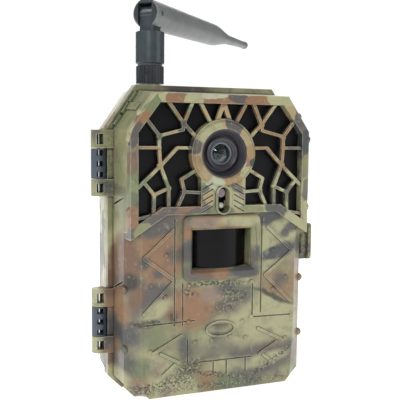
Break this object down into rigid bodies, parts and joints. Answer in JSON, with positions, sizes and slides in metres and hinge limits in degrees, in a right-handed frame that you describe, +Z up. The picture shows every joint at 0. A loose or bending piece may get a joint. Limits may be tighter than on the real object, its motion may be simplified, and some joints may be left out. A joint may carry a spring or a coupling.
{
  "type": "trail camera",
  "caption": "Cellular trail camera in a hinged, latched camouflage case with a web-like lamp guard, motion-sensor window, tree bracket, tripod thread and fold-down whip aerial.",
  "frame": {"origin": "centre of the tripod thread's mouth, in the flat underside of the rear half", "axes": "+X to the viewer's right as seen from the front, -Y the way the lens looks, +Z up"},
  "size_m": [0.1221, 0.1231, 0.1839],
  "materials": {
    "front_case": "satin camouflage print in khaki, orange-brown, moss green and grey",
    "web_guard": "satin camouflage print with hard-edged beige, olive and grey patches",
    "pir_frame": "satin camouflage print",
    "rear_case": "satin camouflage print",
    "tree_bracket": "moulded dark brown, lightly textured",
    "latch_lever": "satin camouflage print",
    "dark_window": "polished, nearly black",
    "pir_lens": "smooth, slightly cloudy",
    "lens_barrel": "fine matte",
    "lens_retainer": "bright turned ring",
    "lens_glass": "coated, polished",
    "circuit_board": "solder mask",
    "ir_lamps": "dark clear resin",
    "light_sensor": "clear pinkish resin",
    "status_led": "clear resin",
    "steel_trim": "plain",
    "steel_pins": "ground bright",
    "sensor_element": "polished filter",
    "inner_panel": "fine texture",
    "display_window": "clear, polished",
    "display": "dark glass face",
    "keys": "soft grey rubber",
    "power_switch": "moulded dull red",
    "speaker": "paper cone",
    "memory_card": "moulded dark blue",
    "seal": "soft silicone",
    "hinge_links": "moulded slate grey",
    "battery_tray": "fine texture",
    "cells": "printed film",
    "nickel_contacts": "nickel plated",
    "gold_contacts": "gold plated",
    "brass_insert": "plain",
    "aerial_nut": "moulded, ribbed",
    "aerial_base": "smooth slate grey",
    "aerial_whip": "soft smooth slate grey"
  },
  "bodies": {
    "rear_half": {"rear_case": "rear_case", "seal": "seal", "hinge_links": "hinge_links", "hinge_pins": "steel_pins", "battery_tray": "battery_tray", "cells": "cells", "cell_springs": "nickel_contacts", "contact_plates": "nickel_contacts", "modem_board": "circuit_board", "aerial_jack": "gold_contacts", "jack_nut": "steel_pins", "tripod_insert": "brass_insert", "tree_bracket": "tree_bracket", "bracket_screws": "steel_trim", "contact_block": "battery_tray", "spring_contacts": "gold_contacts"},
    "front_half": {"front_case": "front_case", "web_guard": "web_guard", "ir_window": "dark_window", "pir_frame": "pir_frame", "pir_lens": "pir_lens", "lens_barrel": "lens_barrel", "lens_retainer": "lens_retainer", "lens_glass": "lens_glass", "camera_board": "circuit_board", "ir_board": "circuit_board", "ir_lamps": "ir_lamps", "light_sensor": "light_sensor", "status_led": "status_led", "microphone": "steel_trim", "sensor_board": "circuit_board", "main_board": "circuit_board", "pir_sensor": "steel_trim", "pir_element": "sensor_element", "inner_panel": "inner_panel", "panel_screws": "steel_trim", "display_window": "display_window", "display": "display", "keypad_board": "circuit_board", "speaker": "speaker", "card_slot": "nickel_contacts", "contact_pads": "gold_contacts", "latch_pin": "steel_pins"},
    "latch": {"latch_lever": "latch_lever"},
    "nut": {"aerial_nut": "aerial_nut"},
    "aerial": {"aerial_base": "aerial_base", "aerial_pin": "steel_trim"},
    "whip": {"aerial_whip": "aerial_whip"},
    "key_up": {"key_up": "keys"},
    "key_down": {"key_down": "keys"},
    "key_left": {"key_left": "keys"},
    "key_right": {"key_right": "keys"},
    "key_ok": {"key_ok": "keys"},
    "key_menu": {"key_menu": "keys"},
    "power_switch": {"power_switch": "power_switch"},
    "memory_card": {"memory_card": "memory_card"}
  },
  "joints": [
    {"name": "door_hinge", "type": "hinge", "parent": "rear_half", "child": "front_half", "pos_m": [-0.052, -0.013, 0.07], "axis": [0, 0, -1], "range_deg": [0, 170]},
    {"name": "latch_hinge", "type": "hinge", "parent": "front_half", "child": "latch", "pos_m": [0.0484, -0.0246, 0.0676], "axis": [0, 0, -1], "range_deg": [0, 90]},
    {"name": "nut_spin", "type": "hinge", "parent": "rear_half", "child": "nut", "pos_m": [-0.0241, -0.002, 0.148], "axis": [0, 0, 1], "continuous": true},
    {"name": "aerial_swivel", "type": "hinge", "parent": "nut", "child": "aerial", "pos_m": [-0.0241, -0.002, 0.155], "axis": [0, 0, 1], "continuous": true},
    {"name": "aerial_fold", "type": "hinge", "parent": "aerial", "child": "whip", "pos_m": [-0.0241, -0.002, 0.1769], "axis": [0.6884, -0.7254, 0], "range_deg": [0, 90]},
    {"name": "key_up_press", "type": "slide", "parent": "front_half", "child": "key_up", "axis": [0, -1, 0], "range_m": [0, 0.0008], "stiffness_N_per_m": 600},
    {"name": "key_down_press", "type": "slide", "parent": "front_half", "child": "key_down", "axis": [0, -1, 0], "range_m": [0, 0.0008], "stiffness_N_per_m": 600},
    {"name": "key_left_press", "type": "slide", "parent": "front_half", "child": "key_left", "axis": [0, -1, 0], "range_m": [0, 0.0008], "stiffness_N_per_m": 600},
    {"name": "key_right_press", "type": "slide", "parent": "front_half", "child": "key_right", "axis": [0, -1, 0], "range_m": [0, 0.0008], "stiffness_N_per_m": 600},
    {"name": "key_ok_press", "type": "slide", "parent": "front_half", "child": "key_ok", "axis": [0, -1, 0], "range_m": [0, 0.0008], "stiffness_N_per_m": 600},
    {"name": "key_menu_press", "type": "slide", "parent": "front_half", "child": "key_menu", "axis": [0, -1, 0], "range_m": [0, 0.0008], "stiffness_N_per_m": 600},
    {"name": "power_slide", "type": "slide", "parent": "front_half", "child": "power_switch", "axis": [0, 0, 1], "range_m": [-0.0033, 0.0033]},
    {"name": "card_slide", "type": "slide", "parent": "front_half", "child": "memory_card", "axis": [0, 0, -1], "range_m": [0, 0.006]}
  ]
}
